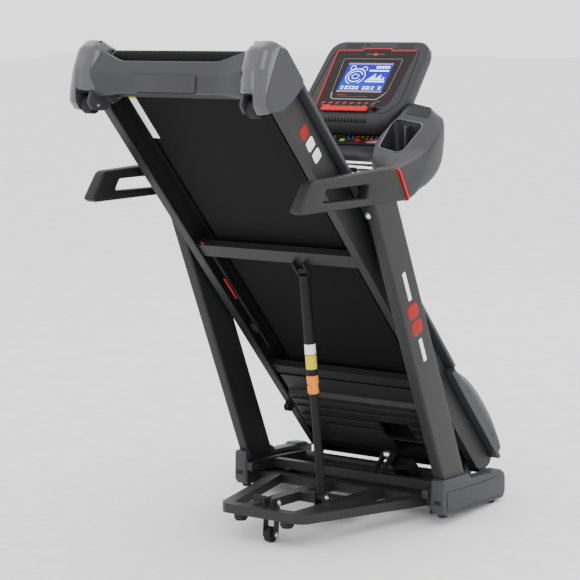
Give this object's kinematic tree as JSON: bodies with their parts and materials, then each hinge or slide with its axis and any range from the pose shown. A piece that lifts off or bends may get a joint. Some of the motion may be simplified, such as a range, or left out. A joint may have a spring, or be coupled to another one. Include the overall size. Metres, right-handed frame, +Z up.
{
  "type": "folding treadmill",
  "caption": "Motorised folding treadmill with a lift strut, inclining deck, uprights, handrails and a display console, deck folded up.",
  "frame": {"origin": "middle of the machine's plan, at the height of the lowered caster's lowest point", "axes": "+Z up, +Y towards the motor and console front, +X to the walker's right"},
  "size_m": [0.8502, 1.3185, 1.5696],
  "materials": {
    "frame_paint": "fine satin powder coat",
    "grey_plastic": "fine spark-eroded texture",
    "handle_plastic": "matte",
    "black_plastic": "matte",
    "overlay": "semi-gloss printed overlay",
    "display": "glossy backlit screen",
    "red_plastic": "satin red",
    "green_plastic": "satin green",
    "orange_plastic": "matte orange",
    "belt_rubber": "woven-backed, matte",
    "pad_rubber": "matte",
    "bright_steel": "bright zinc plate",
    "pulse_steel": "polished tube",
    "motor_paint": "semi-gloss black",
    "heat_sink": "plain extruded",
    "deck_wood": "phenolic-faced board",
    "circuit_board": "solder mask"
  },
  "bodies": {
    "base": {"rear_cross_tube": "frame_paint", "floor_tubes": "frame_paint", "cross_tubes": "frame_paint", "base_plates": "frame_paint", "base_brackets": "frame_paint", "pivot_pins": "bright_steel", "rubber_pads": "pad_rubber", "right_upright": "frame_paint", "left_upright": "frame_paint", "right_shoe": "grey_plastic", "left_shoe": "grey_plastic", "right_handrail": "handle_plastic", "left_handrail": "handle_plastic", "trim_rings": "red_plastic", "console_arms": "grey_plastic", "console_tray": "grey_plastic", "keypad_panel": "overlay", "pulse_bar": "pulse_steel", "console_shell": "grey_plastic", "face_plate": "overlay", "screen": "display", "console_board": "circuit_board", "tablet_ledge": "red_plastic", "upright_bolts": "bright_steel"},
    "caster": {"caster_fork": "frame_paint"},
    "caster_wheel": {"caster_wheel": "pad_rubber"},
    "incline_arms": {"incline_frame": "frame_paint"},
    "fold_shaft": {"fold_tube": "frame_paint"},
    "jack": {"incline_motor": "motor_paint"},
    "jack_screw": {"incline_screw": "bright_steel"},
    "deck": {"side_rails": "frame_paint", "deck_beams": "frame_paint", "deck_lugs": "frame_paint", "foot_rails": "grey_plastic", "deck_cushions": "pad_rubber", "deck_board": "deck_wood", "running_belt": "belt_rubber", "deck_axles": "bright_steel", "drive_motor": "motor_paint", "drive_belt": "belt_rubber", "motor_controller": "heat_sink", "belly_pan": "frame_paint", "motor_hood": "grey_plastic", "front_cover": "black_plastic", "power_inlet": "black_plastic", "right_end_cap": "grey_plastic", "left_end_cap": "grey_plastic", "rear_cover": "grey_plastic"},
    "front_roller": {"front_roller": "bright_steel"},
    "rear_roller": {"rear_roller": "bright_steel"},
    "motor_shaft": {"motor_shaft": "bright_steel"},
    "power_switch": {"power_switch": "red_plastic"},
    "right_rear_wheel": {"right_rear_wheel": "pad_rubber"},
    "left_rear_wheel": {"left_rear_wheel": "pad_rubber"},
    "strut_lower": {"strut_lower": "motor_paint"},
    "strut_upper": {"strut_upper": "motor_paint", "strut_collar": "orange_plastic"},
    "start_key": {"start_key": "green_plastic"},
    "stop_key": {"stop_key": "red_plastic"},
    "safety_key": {"safety_key": "black_plastic"}
  },
  "joints": [
    {"name": "incline_hinge", "type": "hinge", "parent": "base", "child": "incline_arms", "pos_m": [0, 0.2102, 0.139], "axis": [1, 0, 0], "range_deg": [0, 15]},
    {"name": "fold_shaft_turn", "type": "hinge", "parent": "incline_arms", "child": "fold_shaft", "pos_m": [0, 0.5002, 0.131], "axis": [1, 0, 0], "range_deg": [-17.6, 0]},
    {"name": "fold_hinge", "type": "hinge", "parent": "fold_shaft", "child": "deck", "pos_m": [0, 0.5002, 0.131], "axis": [1, 0, 0], "range_deg": [0, 49.4]},
    {"name": "jack_pivot", "type": "hinge", "parent": "base", "child": "jack", "pos_m": [0, 0.4602, 0.131], "axis": [1, 0, 0], "range_deg": [-6.2, 0]},
    {"name": "jack_slide", "type": "slide", "parent": "jack", "child": "jack_screw", "axis": [0, -0.7071, 0.7071], "range_m": [0, 0.0482]},
    {"name": "strut_pivot", "type": "hinge", "parent": "base", "child": "strut_lower", "pos_m": [0.085, 0.0062, 0.127], "axis": [1, 0, 0], "range_deg": [0, 78.8]},
    {"name": "strut_slide", "type": "slide", "parent": "strut_lower", "child": "strut_upper", "axis": [0, -0.1299, 0.9915], "range_m": [-0.2956, 0]},
    {"name": "caster_lever", "type": "hinge", "parent": "base", "child": "caster", "pos_m": [0, -0.1418, 0.127], "axis": [1, 0, 0], "range_deg": [0, 85]},
    {"name": "caster_spin", "type": "hinge", "parent": "caster", "child": "caster_wheel", "pos_m": [0, -0.1498, 0.025], "axis": [1, 0, 0], "continuous": true},
    {"name": "front_roller_spin", "type": "hinge", "parent": "deck", "child": "front_roller", "pos_m": [0, 0.37026, 0.45766], "axis": [1, 0, 0], "continuous": true},
    {"name": "rear_roller_spin", "type": "hinge", "parent": "deck", "child": "rear_roller", "pos_m": [0, -0.56462, 1.50916], "axis": [1, 0, 0], "continuous": true},
    {"name": "motor_shaft_spin", "type": "hinge", "parent": "deck", "child": "motor_shaft", "pos_m": [0, 0.5063, 0.33775], "axis": [1, 0, 0], "continuous": true},
    {"name": "right_wheel_spin", "type": "hinge", "parent": "deck", "child": "right_rear_wheel", "pos_m": [0, -0.61908, 1.37777], "axis": [1, 0, 0], "continuous": true},
    {"name": "left_wheel_spin", "type": "hinge", "parent": "deck", "child": "left_rear_wheel", "pos_m": [0, -0.61908, 1.37777], "axis": [1, 0, 0], "continuous": true},
    {"name": "power_rocker", "type": "hinge", "parent": "deck", "child": "power_switch", "pos_m": [-0.208, 0.5921, 0.17051], "axis": [1, 0, 0], "range_deg": [0, 8]},
    {"name": "start_press", "type": "slide", "parent": "base", "child": "start_key", "axis": [0, 0.6521, -0.7581], "range_m": [0, 0.0015], "stiffness_N_per_m": 400, "springref_m": -0.0005},
    {"name": "stop_press", "type": "slide", "parent": "base", "child": "stop_key", "axis": [0, 0.6521, -0.7581], "range_m": [0, 0.0015], "stiffness_N_per_m": 400, "springref_m": -0.0005},
    {"name": "safety_key_pull", "type": "slide", "parent": "base", "child": "safety_key", "axis": [0, -0.7738, 0.6334], "range_m": [0, 0.03]}
  ],
  "couplings": [
    {"joint": "fold_shaft_turn", "follows": "incline_hinge", "ratio": -1.17},
    {"joint": "jack_pivot", "follows": "incline_hinge", "ratio": -0.41},
    {"joint": "jack_slide", "follows": "incline_hinge", "m_per_rad": 0.1834},
    {"joint": "strut_pivot", "follows": "fold_hinge", "ratio": 1.5916},
    {"joint": "strut_slide", "follows": "fold_hinge", "m_per_rad": -0.34168},
    {"joint": "rear_roller_spin", "follows": "front_roller_spin", "ratio": 1},
    {"joint": "motor_shaft_spin", "follows": "front_roller_spin", "ratio": 1.52}
  ]
}
